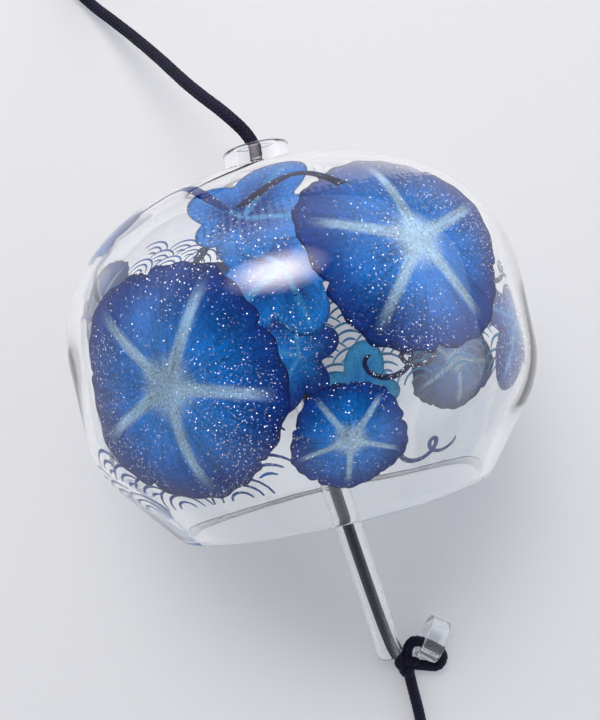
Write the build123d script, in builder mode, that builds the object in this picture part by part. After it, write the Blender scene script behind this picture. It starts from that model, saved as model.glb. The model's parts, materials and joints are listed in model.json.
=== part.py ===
# Glass wind bell lying on its side on a table, with its cord, clapper tube and paper strip.
# Millimetres. The bell's axis runs along Y, the neck points to +Y and the mouth to -Y.
# The table is z = 0. The origin is the middle of the footprint, the free cords left out.

import os
from math import acos, asin, atan2, cos, degrees, hypot, radians, sin, sqrt, tan

from build123d import *

os.makedirs("parts", exist_ok=True)

# Bell glass
bell_radius = 40.0
bell_height = 64.5
mouth_share = 0.7
mouth_radius = bell_radius * mouth_share
wall_at_top = 1.5
wall_at_side = 2.0
neck_radius = 5.9
neck_height = 4.4
neck_round = 1.6
bore_radius = 4.0
lip_round = 0.6
band_start_depth = 30.5
skirt_round = 17.0
skirt_slope = 38.0

# Cord, knots and the short rings that stop them
cord_radius = 1.25
knot_radius = 2.7
ring_outer = 4.5
ring_wall = 1.5
ring_length = 4.3
loop_radius = 3.85
seat_gap = 0.3
cord_grip = 0.7
# Each bend's tangents take this share of the shorter run beside it.
bend_share = 0.45

# Clapper
tube_radius = 2.75
tube_wall = 0.65
tube_length_share = 1.240310078
tube_length = bell_height * tube_length_share
tube_slack = 8.5
clapper_yaw = 5.1
clapper_foot_height = 4.25
tilt_rounds = 60
# The pivot lies as deep in the bell as leaves this share of the clapper inside the mouth.
clapper_inside_share = 0.519774011
pivot_aside = 3.5
lower_knot_aside = 2.9
lower_knot_ahead = 3.85
lower_ring_aside = 6.4
lower_ring_back = 4.4
lower_ring_turn = -37.6
upper_ring_aside = 2.9
upper_ring_drop = 6.2
neck_cord_reach = 6.0

# Paper strip and the tail it hangs on
strip_width = 36.0
strip_length = 120.0
strip_thickness = 0.35
strip_turn = 4.0
strip_hole = 1.6
strip_hole_margin = 6.0
strip_knot_radius = 2.4
strip_knot_height = 2.5
strip_corner = 1.0
tail_run = 40.0
# Bends of the tail between its two knots, each a step aside and a share of the run.
tail_bends = ((0.3, 0.22), (-0.7, 0.56))

# Hanging cord outside the neck: a step aside, a step out and a share of the height left to fall.
hanging_bends = (
    (-3.6, 6.0, 0.985),
    (-9.2, 14.2, 0.78),
    (-14.5, 24.5, 0.47),
    (-20.8, 35.0, 0.185),
    (-28.5, 45.5, 0.0),
    (-35.5, 58.5, 0.0),
    (-33.5, 71.0, 0.0),
)
hanging_knot_radius = 3.8
hanging_loop_radius = 7.0
hanging_loop_spread = 20.0

# Where things lie
axis_z = bell_radius
turn = radians(strip_turn)
yaw = radians(clapper_yaw)
slope = radians(skirt_slope)
swing_length = tube_slack + tube_length
pivot_depth = bell_height - swing_length * clapper_inside_share
mouth_inner = mouth_radius - wall_at_side / cos(slope)

# The tube leans on the mouth's lower edge with its foot just over the table, and its tilt
# follows: each round takes the pivot's height from the last tilt, and the rounds close in.
rim_reach = bell_height - pivot_depth
rim_aside = rim_reach * tan(yaw) - pivot_aside
rim_edge_z = axis_z - sqrt(mouth_inner**2 - rim_aside**2)
tube_lift = tube_radius - tube_wall - cord_radius - seat_gap
tilt = asin((rim_edge_z - clapper_foot_height) / (swing_length - rim_reach))
for _ in range(tilt_rounds):
    lip_drop = lip_round * (tan(slope) + 1 / cos(slope) + tan(tilt) - 1 / cos(tilt))
    line_over_rim = (seat_gap + tube_radius - tube_lift) / cos(tilt) - lip_drop
    pivot_z = rim_edge_z + line_over_rim + rim_reach * tan(tilt) / cos(yaw)
    tilt = asin((pivot_z - clapper_foot_height) / swing_length)
along = Vector(sin(yaw) * cos(tilt), -cos(yaw) * cos(tilt), -sin(tilt))

end_depth = pivot_depth - swing_length * along.Y
lower_knot_depth = end_depth + lower_knot_ahead
tail_clear = knot_radius + seat_gap + cord_radius
tail_start_depth = lower_knot_depth + sqrt(tail_clear**2 - (knot_radius - cord_radius) ** 2)
strip_knot_depth = tail_start_depth + tail_run
strip_beyond_knot = strip_length - strip_hole_margin
strip_end_depth = strip_knot_depth + strip_beyond_knot * cos(turn) + strip_width / 2 * sin(turn)
top_y = strip_end_depth / 2


def at(aside, depth, height):
    """A point from its step aside, its depth under the neck's top and its height over the table."""
    return Vector(aside, top_y - depth, height)


# Bell glass: one profile turned about the axis, outside less inside.
# The side is an elliptic shoulder, a straight band, a round turn and a straight slope to the mouth.
foot_radius = neck_radius + neck_round
turn_depth = bell_height - skirt_round * sin(slope)
turn_depth -= (bell_radius - mouth_radius - skirt_round * (1 - cos(slope))) / tan(slope)
bell_plane = Plane(origin=at(0, 0, axis_z), x_dir=(1, 0, 0), z_dir=(0, 0, 1))
mouth_plane = Plane(origin=at(0, 0, axis_z), x_dir=(1, 0, 0), z_dir=(0, -1, 0))


def side_of_glass(wall_top, wall_side):
    """The side's edges from the neck's foot to the mouth, moved in by the walls."""
    EllipticalCenterArc(
        (foot_radius, -band_start_depth),
        bell_radius - foot_radius - wall_side,
        band_start_depth - neck_height - wall_top,
        start_angle=0,
        arc_size=90,
    )
    Line((bell_radius - wall_side, -band_start_depth), (bell_radius - wall_side, -turn_depth))
    turned = skirt_round - wall_side
    CenterArc((bell_radius - skirt_round, -turn_depth), turned, 0, -skirt_slope)
    turn_end = (bell_radius - skirt_round + turned * cos(slope), -turn_depth - turned * sin(slope))
    Line(turn_end, (mouth_radius - wall_side / cos(slope), -bell_height))


with BuildPart() as bell_glass:
    with BuildSketch(bell_plane):
        with BuildLine():
            Polyline((0, 0), (neck_radius, 0), (neck_radius, neck_round - neck_height))
            RadiusArc((neck_radius, neck_round - neck_height), (foot_radius, -neck_height), -neck_round)
            side_of_glass(0, 0)
            Polyline((mouth_radius, -bell_height), (0, -bell_height), (0, 0))
        make_face()
    revolve(axis=Axis(bell_plane.origin, (0, 1, 0)))
    with BuildSketch(bell_plane):
        with BuildLine():
            inner_top = -neck_height - wall_at_top
            Line((0, inner_top), (foot_radius, inner_top))
            side_of_glass(wall_at_top, wall_at_side)
            Polyline((mouth_inner, -bell_height), (0, -bell_height), (0, inner_top))
        make_face()
    revolve(axis=Axis(bell_plane.origin, (0, 1, 0)), mode=Mode.SUBTRACT)
    with BuildSketch(mouth_plane):
        Circle(bore_radius)
    extrude(amount=bell_height / 2, mode=Mode.SUBTRACT)
    rims = bell_glass.edges().filter_by(GeomType.CIRCLE)
    mouth_y, slack = top_y - bell_height, lip_round / 2
    mouth_rims = rims.filter_by_position(Axis.Y, mouth_y - slack, mouth_y + slack)
    neck_rims = rims.filter_by_position(Axis.Y, top_y - slack, top_y + slack)
    fillet(mouth_rims + neck_rims, lip_round)
bell_glass.part.label = "bell_glass"
export_step(bell_glass.part, "parts/bell_glass.step")

# The clapper's own plane: its z runs down the tube, its x is the axis it swings on
pivot = at(-pivot_aside, pivot_depth, pivot_z)
clapper_plane = Plane(origin=pivot, x_dir=(cos(yaw), sin(yaw), 0), z_dir=along)
tube_foot = pivot + along * swing_length
lower_knot_at = Vector(tube_foot.X + lower_knot_aside, tube_foot.Y - lower_knot_ahead, knot_radius)


def knot_loop_plane(ring_centre, ring_axis, knot_centre):
    """The plane of the loop from a knot round the near wall of a ring."""
    reach = knot_centre - ring_centre
    towards = (reach - ring_axis * reach.dot(ring_axis)).normalized()
    wall_centre = ring_centre + towards * (ring_outer - ring_wall / 2)
    return Plane(origin=wall_centre, x_dir=ring_axis, z_dir=ring_axis.cross(towards))


def knot_loop(loop_plane, bend_radius, knot_centre, knot_size):
    """The loop's middle line: a straight leg out of the knot, round the bend and a leg back in."""
    knot_on_plane = loop_plane.to_local_coords(knot_centre)
    heading = atan2(knot_on_plane.Y, knot_on_plane.X)
    away = hypot(knot_on_plane.X, knot_on_plane.Y)
    spread = acos(bend_radius / away)
    leg_out = (knot_size - cord_grip) / (away * sin(spread))
    for side in (1, -1):
        touch_x = bend_radius * cos(heading + side * spread)
        touch_y = bend_radius * sin(heading + side * spread)
        start_x = knot_on_plane.X + (touch_x - knot_on_plane.X) * leg_out
        start_y = knot_on_plane.Y + (touch_y - knot_on_plane.Y) * leg_out
        Line((start_x, start_y), (touch_x, touch_y))
    CenterArc((0, 0), bend_radius, degrees(heading + spread), 360 - degrees(2 * spread))


# Upper stop: the ring lies across under the neck, and the knot's loop holds its wall
upper_ring_at = at(
    upper_ring_aside, neck_height + wall_at_top + seat_gap + ring_outer, axis_z - upper_ring_drop
)
upper_ring_axis = Vector(1, 0, 0)
upper_loop_plane = knot_loop_plane(upper_ring_at, upper_ring_axis, pivot)

# Lower stop: the ring stands on the table on its edge, turned a little towards the knot
lower_ring_at = Vector(lower_knot_at.X + lower_ring_aside, lower_knot_at.Y + lower_ring_back, ring_outer)
lower_ring_axis = Vector(cos(radians(lower_ring_turn)), sin(radians(lower_ring_turn)), 0)
lower_loop_plane = knot_loop_plane(lower_ring_at, lower_ring_axis, lower_knot_at)

with BuildPart() as upper_stopper_ring:
    with BuildSketch(Plane(origin=upper_ring_at, z_dir=upper_ring_axis)):
        Circle(ring_outer)
        Circle(ring_outer - ring_wall, mode=Mode.SUBTRACT)
    extrude(amount=ring_length / 2, both=True)
upper_stopper_ring.part.label = "upper_stopper_ring"
export_step(upper_stopper_ring.part, "parts/upper_stopper_ring.step")

with BuildPart() as lower_stopper_ring:
    with BuildSketch(Plane(origin=lower_ring_at, z_dir=lower_ring_axis)):
        Circle(ring_outer)
        Circle(ring_outer - ring_wall, mode=Mode.SUBTRACT)
    extrude(amount=ring_length / 2, both=True)
lower_stopper_ring.part.label = "lower_stopper_ring"
export_step(lower_stopper_ring.part, "parts/lower_stopper_ring.step")

with BuildPart() as upper_knot:
    with BuildLine(upper_loop_plane) as upper_loop:
        knot_loop(upper_loop_plane, loop_radius, pivot, knot_radius)
    with BuildSketch(Plane(origin=upper_loop.wire() @ 0, z_dir=upper_loop.wire() % 0)):
        Circle(cord_radius)
    sweep(path=upper_loop.wire())
    with Locations(Plane(origin=pivot, x_dir=upper_loop_plane.z_dir, z_dir=upper_loop_plane.x_dir)):
        Sphere(knot_radius)
upper_knot.part.label = "upper_knot"
export_step(upper_knot.part, "parts/upper_knot.step")

with BuildPart() as lower_knot:
    with BuildLine(lower_loop_plane) as lower_loop:
        knot_loop(lower_loop_plane, loop_radius, lower_knot_at, knot_radius)
    with BuildSketch(Plane(origin=lower_loop.wire() @ 0, z_dir=lower_loop.wire() % 0)):
        Circle(cord_radius)
    sweep(path=lower_loop.wire())
    with Locations(Plane(origin=lower_knot_at, x_dir=lower_loop_plane.z_dir, z_dir=lower_loop_plane.x_dir)):
        Sphere(knot_radius)
lower_knot.part.label = "lower_knot"
export_step(lower_knot.part, "parts/lower_knot.step")


def bend_radii(points):
    """The radius of each bend along a cord's points."""
    radii = []
    for before, corner, after in zip(points, points[1:], points[2:]):
        shorter = min((corner - before).length, (after - corner).length)
        half_turn = radians((corner - before).get_angle(after - corner)) / 2
        radii.append(bend_share * shorter / tan(half_turn))
    return radii


# Neck cord: from the neck's top face through the bore to the upper knot
neck_cord_z = axis_z - bore_radius + cord_radius + seat_gap
neck_end = at(0, 0, neck_cord_z)
neck_bend_aside = -pivot_aside * neck_cord_reach / pivot_depth
neck_bend = at(neck_bend_aside, neck_height + wall_at_top + neck_cord_reach, neck_cord_z)
neck_points = [neck_end, neck_bend, pivot]

with BuildPart() as neck_cord:
    with BuildLine():
        neck_path = FilletPolyline(*neck_points, radius=bend_radii(neck_points))
    with BuildSketch(Plane(origin=neck_end, z_dir=neck_path % 0)):
        Circle(cord_radius)
    sweep(path=neck_path)
neck_cord.part.label = "neck_cord"
export_step(neck_cord.part, "parts/neck_cord.step")

# Clapper cord: from the upper knot through the tube to the lower knot
cord_exit = pivot + along * swing_length
clapper_points = [pivot + along * (knot_radius + seat_gap), cord_exit, lower_knot_at]

with BuildPart() as inner_cord:
    with BuildLine():
        clapper_path = FilletPolyline(*clapper_points, radius=bend_radii(clapper_points))
    with BuildSketch(Plane(origin=clapper_points[0], z_dir=along)):
        Circle(cord_radius)
    sweep(path=clapper_path)
inner_cord.part.label = "inner_cord"
export_step(inner_cord.part, "parts/inner_cord.step")

with BuildPart() as clapper_tube:
    with BuildSketch(clapper_plane.offset(tube_slack)):
        with Locations((0, tube_lift)):
            Circle(tube_radius)
            Circle(tube_radius - tube_wall, mode=Mode.SUBTRACT)
    extrude(amount=tube_length)
clapper_tube.part.label = "clapper_tube"
export_step(clapper_tube.part, "parts/clapper_tube.step")

# Tail: lies on the table from the lower knot to the strip's knot
tail_start = Vector(lower_knot_at.X, top_y - tail_start_depth, cord_radius)
strip_knot_at = Vector(tail_start.X + tail_bends[-1][0], top_y - strip_knot_depth, strip_knot_height)
tail_points = [tail_start]
for aside, share in tail_bends:
    tail_points.append(Vector(tail_start.X + aside, tail_start.Y - tail_run * share, cord_radius))
last_bend = tail_points[-1]
tail_points.append(strip_knot_at + (last_bend - strip_knot_at).normalized() * (strip_knot_radius + seat_gap))

with BuildPart() as tail_cord:
    with BuildLine():
        tail_path = FilletPolyline(*tail_points, radius=bend_radii(tail_points))
    with BuildSketch(Plane(origin=tail_start, z_dir=tail_path % 0)):
        Circle(cord_radius)
    sweep(path=tail_path)
    with Locations(Plane(origin=tail_start)):
        Sphere(cord_radius)
tail_cord.part.label = "tail_cord"
export_step(tail_cord.part, "parts/tail_cord.step")

# Paper strip: flat on the table, turned a little about its knot
strip_plane = Plane(
    origin=(strip_knot_at.X, strip_knot_at.Y, 0), x_dir=(cos(turn), sin(turn), 0), z_dir=(0, 0, 1)
)
with BuildPart() as paper_strip:
    with BuildSketch(strip_plane):
        with Locations((0, strip_hole_margin - strip_length / 2)):
            RectangleRounded(strip_width, strip_length, strip_corner)
        Circle(strip_hole, mode=Mode.SUBTRACT)
    extrude(amount=strip_thickness)
paper_strip.part.label = "paper_strip"
export_step(paper_strip.part, "parts/paper_strip.step")

with BuildPart() as strip_knot:
    with Locations(Plane(origin=strip_knot_at)):
        Sphere(strip_knot_radius)
strip_knot.part.label = "strip_knot"
export_step(strip_knot.part, "parts/strip_knot.step")

# Hanging cord: out of the neck, down to the table and into the loop's knot
hang_start = Vector(0, top_y + cord_radius + seat_gap, neck_cord_z)
fall = neck_cord_z - cord_radius
hang_points = [hang_start] + [
    Vector(aside, hang_start.Y + out, cord_radius + fall * share) for aside, out, share in hanging_bends
]
hanging_knot_at = hang_points.pop()
hanging_knot_at.Z = hanging_knot_radius
into_knot = (hanging_knot_at - hang_points[-1]).normalized()
hang_points.append(hanging_knot_at - into_knot * (hanging_knot_radius - cord_grip))

with BuildPart() as hanging_cord:
    with BuildLine():
        hang_path = FilletPolyline(*hang_points, radius=bend_radii(hang_points))
    with BuildSketch(Plane(origin=hang_start, z_dir=hang_path % 0)):
        Circle(cord_radius)
    sweep(path=hang_path)
    with Locations(Plane(origin=hang_start)):
        Sphere(cord_radius)
hanging_cord.part.label = "hanging_cord"
export_step(hanging_cord.part, "parts/hanging_cord.step")

# The loop leans from its knot down to the table
loop_away = hanging_loop_radius / sin(radians(hanging_loop_spread))
loop_lean = asin((hanging_knot_radius - cord_radius) / (loop_away + hanging_loop_radius))
over_table = Vector(into_knot.X, into_knot.Y, 0).normalized()
loop_heading = over_table * cos(loop_lean) - Vector(0, 0, sin(loop_lean))
hanging_loop_plane = Plane(
    origin=hanging_knot_at + loop_heading * loop_away,
    x_dir=loop_heading,
    z_dir=over_table * sin(loop_lean) + Vector(0, 0, cos(loop_lean)),
)
with BuildPart() as hanging_loop:
    with BuildLine(hanging_loop_plane) as end_loop:
        knot_loop(hanging_loop_plane, hanging_loop_radius, hanging_knot_at, hanging_knot_radius)
    with BuildSketch(Plane(origin=end_loop.wire() @ 0, z_dir=end_loop.wire() % 0)):
        Circle(cord_radius)
    sweep(path=end_loop.wire())
    with Locations(Plane(origin=hanging_knot_at, x_dir=hanging_loop_plane.z_dir, z_dir=loop_heading)):
        Sphere(hanging_knot_radius)
hanging_loop.part.label = "hanging_loop"
export_step(hanging_loop.part, "parts/hanging_loop.step")

# The routes' lengths and bends, and the places the joints turn about
for name, points, path in (
    ("neck_cord", neck_points, neck_path),
    ("inner_cord", clapper_points, clapper_path),
    ("tail_cord", tail_points, tail_path),
    ("hanging_cord", hang_points, hang_path),
):
    bends = ", ".join(f"{radius:.1f}" for radius in bend_radii(points))
    print(f"{name}: length {path.length:.1f}, bend radii {bends}")
    print("   points", [tuple(round(value, 2) for value in point) for point in points])
loop_run = upper_loop.wire().length, lower_loop.wire().length, end_loop.wire().length
print("loops round the rings and the hanging loop:", [round(run, 1) for run in loop_run])
for name, place in (
    ("pivot", pivot),
    ("along", along),
    ("lower knot", lower_knot_at),
    ("upper ring", upper_ring_at),
    ("lower ring", lower_ring_at),
    ("tail start", tail_start),
    ("strip knot", strip_knot_at),
    ("hang start", hang_start),
    ("hanging knot", hanging_knot_at),
    ("loop heading", loop_heading),
    ("where a hook bears", hanging_loop_plane.origin + loop_heading * (hanging_loop_radius - cord_radius)),
    ("neck top", at(0, 0, axis_z)),
):
    print(f"{name}: {place.X:.6f} {place.Y:.6f} {place.Z:.6f}")
print(f"mouth inner radius {mouth_inner:.3f}, band from depth {band_start_depth} to {turn_depth:.2f}")
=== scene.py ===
# %% [markdown]
# The bell's frame comes first: the packed solids, in metres, each where it belongs.
# Everything made below is laid on these solids, so a piece needs no fitting afterwards.

# %% Load the frame
import json
from math import acos, atan2, copysign, cos, degrees, hypot, pi, radians, sin

import bmesh
import bpy
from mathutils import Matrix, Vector


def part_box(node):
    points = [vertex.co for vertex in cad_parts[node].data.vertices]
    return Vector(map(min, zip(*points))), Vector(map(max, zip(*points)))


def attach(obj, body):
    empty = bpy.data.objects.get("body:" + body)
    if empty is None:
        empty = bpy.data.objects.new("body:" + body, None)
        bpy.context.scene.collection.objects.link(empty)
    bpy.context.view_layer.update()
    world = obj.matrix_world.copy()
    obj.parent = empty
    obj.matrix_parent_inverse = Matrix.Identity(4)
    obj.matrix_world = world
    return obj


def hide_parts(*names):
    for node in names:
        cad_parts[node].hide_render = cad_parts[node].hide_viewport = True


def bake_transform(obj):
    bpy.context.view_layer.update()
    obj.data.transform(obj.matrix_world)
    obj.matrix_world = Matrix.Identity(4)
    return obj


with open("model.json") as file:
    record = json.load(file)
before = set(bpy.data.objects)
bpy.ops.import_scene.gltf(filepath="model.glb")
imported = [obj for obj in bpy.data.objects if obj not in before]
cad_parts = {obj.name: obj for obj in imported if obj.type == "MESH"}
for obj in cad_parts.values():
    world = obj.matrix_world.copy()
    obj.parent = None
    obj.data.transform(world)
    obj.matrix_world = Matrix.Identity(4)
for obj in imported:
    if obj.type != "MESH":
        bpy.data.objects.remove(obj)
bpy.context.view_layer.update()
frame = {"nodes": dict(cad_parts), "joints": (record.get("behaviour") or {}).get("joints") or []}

MM = 0.001
bell_low, bell_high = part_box("bell_glass")
neck_top = bell_high.y
axis_height = (bell_low.z + bell_high.z) / 2
print("bell radius", round(axis_height / MM, 2), "mm, neck top at y", round(neck_top / MM, 2), "mm")

# %% [markdown]
# A place is easier to read when it is told from the bell: so far aside of its axis, so far
# beyond the top of its neck, so high over the table. Hinges and the middles of small solids are
# read from the frame instead, so that the upper knot, the strip's knot and the rings sit exactly
# where the physics has them.


# %% Places
def place(aside, beyond, height):
    """A point in millimetres: aside of the bell's axis, beyond the neck's top, over the table."""
    return Vector((aside * MM, neck_top + beyond * MM, height * MM))


def middle_of(node):
    """The middle of a solid's box."""
    low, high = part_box(node)
    return (Vector(low) + Vector(high)) / 2


joint_at = {joint["name"]: Vector(joint["pos_m"]) for joint in frame["joints"] if "pos_m" in joint}
print("joints:", ", ".join(joint_at))

# %% [markdown]
# The camera looks straight down from 230 mm over the table, turned 13 degrees about its own axis,
# because the bell was photographed lying on a table from close above.
# So near a camera makes the high parts of the bell a good deal larger than the table under them.
# A lens of 53.6 mm on a 36 mm sensor gives the photograph's angle.

# %% Camera
camera_height = 230 * MM
camera_turn = radians(-13.0)
nearest_seen = 10 * MM
camera_data = bpy.data.cameras.new("camera")
camera_data.lens = 53.6
camera_data.clip_start = nearest_seen
camera = bpy.data.objects.new("camera", camera_data)
camera.location = (-0.7 * MM, neck_top - 38.5 * MM, camera_height)
camera.rotation_euler = (0, 0, camera_turn)
bpy.context.scene.collection.objects.link(camera)
bpy.context.scene.camera = camera
bpy.context.scene.view_settings.view_transform = "Standard"
print("camera", round(camera_height / MM), "mm over the table")

# %% [markdown]
# A material, a lamp and a world are all trees of nodes. They could be wired by hand in the
# Shader Editor; in a script a few small helpers keep each finish down to the lines that say
# something. A number that is the same all over a surface is set on the shader's own socket,
# and only what varies, such as grain or colour, is a node.


# %% Materials and their nodes
def new_material(name):
    """An empty node material with its output, and the shader it ends in."""
    material = bpy.data.materials.new(name)
    material.use_nodes = True
    nodes = material.node_tree.nodes
    nodes.clear()
    shader = nodes.new("ShaderNodeBsdfPrincipled")
    output = nodes.new("ShaderNodeOutputMaterial")
    connect(material, shader.outputs[0], output.inputs[0])
    return material, shader


def connect(owner, source, target):
    owner.node_tree.links.new(source, target)


def add(owner, kind, inputs=None, **settings):
    """A node in the owner's tree. Settings are the node's own fields; each input is a value or
    another node's output."""
    node = owner.node_tree.nodes.new(kind)
    for key, value in settings.items():
        setattr(node, key, value)
    for key, value in (inputs or {}).items():
        if isinstance(value, bpy.types.NodeSocket):
            connect(owner, value, node.inputs[key])
        else:
            node.inputs[key].default_value = value
    return node


def finish_of(shader, finish):
    """Sets what is the same all over the surface."""
    for socket, value in finish.items():
        shader.inputs[socket].default_value = value


print("helpers for finishes: new_material, connect, add and finish_of")

# %% [markdown]
# What varies over a surface is nearly always the same few steps: a value is mapped from one
# range to another, joined with a second one, and turned into a colour by a ramp. Written once
# as helpers, they keep each finish about as short as its description.


# %% Values and colours
def maths(material, operation, first, second, third=0.0, **settings):
    inputs = {0: first, 1: second, 2: third}
    return add(material, "ShaderNodeMath", inputs, operation=operation, **settings).outputs[0]


def mapped(material, value, low, high, to_low=0.0, to_high=1.0):
    """A value moved from one range to another, and kept within it."""
    inputs = {"Value": value, "From Min": low, "From Max": high}
    inputs.update({"To Min": to_low, "To Max": to_high})
    return add(material, "ShaderNodeMapRange", inputs).outputs[0]


def ramp(material, factor, stops):
    """A colour ramp over a factor: stops are (place, grey or colour)."""
    node = add(material, "ShaderNodeValToRGB", {"Fac": factor})
    while len(node.color_ramp.elements) < len(stops):
        node.color_ramp.elements.new(0.5)
    for element, (where, colour) in zip(node.color_ramp.elements, stops):
        element.position = where
        element.color = (colour, colour, colour, 1) if isinstance(colour, float) else (*colour, 1)
    return node.outputs["Color"]


def split(material, vector):
    """The x, y and z of a vector."""
    return add(material, "ShaderNodeSeparateXYZ", {"Vector": vector}).outputs


print("helpers for values: maths, mapped, ramp and split")

# %% [markdown]
# Clear glass has no colour of its own: it is seen by what it mirrors and bends. So the room
# matters more than the lamp. It is pale to the sides, which draws the white edges of the glass,
# brighter on the window's side and darker on the near side, and dark overhead, where the camera
# is. A picture of a room could light it too; here a ramp over the height needs no file.

# %% Room
room_tones = [
    (0.0, (0.725, 0.75, 0.79)),
    (0.2, (0.93, 0.97, 1.03)),
    (0.45, (0.91, 0.95, 1.03)),
    (1.0, (0.04, 0.045, 0.06)),
]
near_side_share, window_side_share, far_side_share, room_strength = 0.55, 1.45, 0.65, 1.5
world = bpy.data.worlds.new("room")
bpy.context.scene.world = world
world.use_nodes = True
sky = world.node_tree.nodes["Background"]
way = split(world, add(world, "ShaderNodeTexCoord").outputs["Generated"])
room_tone = ramp(world, mapped(world, way[2], 0.0, 0.8), room_tones)
near_side = mapped(world, way[1], -0.35, -0.95, 1.0, near_side_share)
window_side = mapped(world, way[0], -1.0, 1.0, far_side_share, window_side_share)
shares = maths(world, "MULTIPLY", near_side, window_side)
dimmed = add(world, "ShaderNodeVectorMath", {0: room_tone, "Scale": shares}, operation="SCALE")
connect(world, dimmed.outputs[0], sky.inputs["Color"])
sky.inputs["Strength"].default_value = room_strength
print("room:", len(room_tones), "tones from the table's level up")

# %% [markdown]
# One large lamp stands beyond the neck, 32 degrees off the vertical: that is where its
# reflection on the bell's shoulder comes from. A bare area lamp is mirrored as a hard-edged
# oblong. A real soft box is bright in the middle and fades, so the lamp's own surface is
# shaded by the distance from its middle, with a rosier and dimmer rim.

# %% Soft box
lamp_size, lamp_distance, lamp_power = (0.78, 0.54), 0.85, 15.5
lamp_tones = [(0.0, (0.0, 0.0, 0.0)), (0.45, (0.36, 0.33, 0.345)), (1.0, (1.01, 0.975, 0.93))]
dark_from, bright_within = 0.5, 0.12
light_data = bpy.data.lights.new("soft_box", "AREA")
light_data.shape = "RECTANGLE"
light_data.size, light_data.size_y = lamp_size
light_data.energy = lamp_power
light_data.use_nodes = True
spot = split(light_data, add(light_data, "ShaderNodeNewGeometry").outputs["Parametric"])
spot = add(light_data, "ShaderNodeCombineXYZ", {0: spot[0], 1: spot[1], 2: 0.5}).outputs[0]
middle = (0.5, 0.5, 0.5)
off_middle = add(light_data, "ShaderNodeVectorMath", {0: spot, 1: middle}, operation="DISTANCE")
glow = mapped(light_data, off_middle.outputs["Value"], dark_from, bright_within)
lamp_surface = light_data.node_tree.nodes["Emission"]
connect(light_data, ramp(light_data, glow, lamp_tones), lamp_surface.inputs["Color"])
soft_box = bpy.data.objects.new("soft_box", light_data)
bpy.context.scene.collection.objects.link(soft_box)
light_aim = Vector((0, neck_top - 35 * MM, 40 * MM))
light_way = Vector((-0.05, 0.53, 0.85)).normalized()
soft_box.location = light_aim + light_way * lamp_distance
soft_box.rotation_euler = light_way.to_track_quat("Z", "Y").to_euler()
print("soft box", light_data.size, "by", light_data.size_y, "m")

# %% [markdown]
# The table is a plain pale board. Its colour is made a little darker towards its near end, away
# from the lamp: a painted shade for the lamp's light falling off. To look nearly white it
# would need more light, and that would wash out the bell. So its paint also glows a little, for
# the camera and for rays that were mirrored or came through glass, and for nothing else. The glow
# is a little bluer than the board, so that shade on it looks cooler.
# Light that real glass gathers under itself isn't traced, so what is seen through glass glows
# a little more. The table is a stage, not a piece of the object.

# %% Table
# painted shade: the board's colour darkens towards its near end, away from the lamp
table_shade_tones = [(0.0, (0.57, 0.57, 0.56)), (1.0, (0.61, 0.605, 0.59))]
tone_from, tone_to = 0.0, 0.13
own_glow, glow_through_glass = 0.20, 0.09
half = 1.6
table_material, table_paint = new_material("table")
where = add(table_material, "ShaderNodeTexCoord").outputs["Object"]
near_end_shade = mapped(table_material, split(table_material, where)[1], tone_from, tone_to)
tone = ramp(table_material, near_end_shade, table_shade_tones)
connect(table_material, tone, table_paint.inputs["Base Color"])
finish_of(table_paint, {"Roughness": 0.7, "Emission Color": (0.95, 0.99, 1.09, 1)})
rays = add(table_material, "ShaderNodeLightPath").outputs
seen = maths(table_material, "MAXIMUM", rays["Is Camera Ray"], rays["Is Glossy Ray"])
lift = maths(table_material, "MULTIPLY", seen, own_glow)
through = rays["Is Transmission Ray"]
lift = maths(table_material, "MULTIPLY_ADD", through, glow_through_glass, lift)
connect(table_material, lift, table_paint.inputs["Emission Strength"])
table_mesh = bpy.data.meshes.new("table")
corners = [(-half, -half, 0), (half, -half, 0), (half, half, 0), (-half, half, 0)]
table_mesh.from_pydata(corners, [], [(0, 1, 2, 3)])
table = bpy.data.objects.new("table", table_mesh)
table_mesh.materials.append(table_material)
bpy.context.scene.collection.objects.link(table)
print("table", 2 * half, "m square")

# %% [markdown]
# What repeats or follows a path is made by Geometry Nodes: here the braid of every cord and the
# silver flecks. A tree could be wired in the node editor. This small writer does the same from
# text, gives each tree named inputs for its sizes, and always ends it in Realize Instances and
# Set Material, so that what comes out is a plain mesh with its finish.


# %% A writer of trees
class Tree:
    """Writes Geometry Nodes: each call adds a node and gives back its outputs."""

    def __init__(self, name, sizes):
        self.node_tree = bpy.data.node_groups.new(name, "GeometryNodeTree")
        self.socket("Geometry", "NodeSocketGeometry")
        for label, size in sizes.items():
            kind = "NodeSocketInt" if isinstance(size, int) else "NodeSocketFloat"
            self.socket(label, kind).default_value = size
        self.socket("Material", "NodeSocketMaterial")
        self.socket("Geometry", "NodeSocketGeometry", "OUTPUT")
        self.given = self.node_tree.nodes.new("NodeGroupInput").outputs

    def socket(self, label, kind, way="INPUT"):
        return self.node_tree.interface.new_socket(name=label, in_out=way, socket_type=kind)

    def node(self, kind, inputs=None, **settings):
        return add(self, kind, inputs, **settings).outputs

    def math(self, operation, first, second=0.0):
        return self.node("ShaderNodeMath", {0: first, 1: second}, operation=operation)[0]

    def scaled(self, vector, factor):
        inputs = {0: vector, "Scale": factor}
        return self.node("ShaderNodeVectorMath", inputs, operation="SCALE")[0]

    def sum(self, first, second):
        return self.node("ShaderNodeVectorMath", {0: first, 1: second}, operation="ADD")[0]

    def swept(self, path, radius, sides):
        """A closed rod of so many sides along a path."""
        sizes = {"Resolution": sides, "Radius": radius}
        ring = self.node("GeometryNodeCurvePrimitiveCircle", sizes, mode="RADIUS")[0]
        inputs = {"Curve": path, "Profile Curve": ring, "Fill Caps": True}
        return self.node("GeometryNodeCurveToMesh", inputs)[0]

    def finish(self, geometry):
        real = self.node("GeometryNodeRealizeInstances", {"Geometry": geometry})[0]
        inputs = {"Geometry": real, "Material": self.given["Material"]}
        dressed = self.node("GeometryNodeSetMaterial", inputs)[0]
        connect(self, dressed, self.node_tree.nodes.new("NodeGroupOutput").inputs[0])
        return self.node_tree


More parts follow.
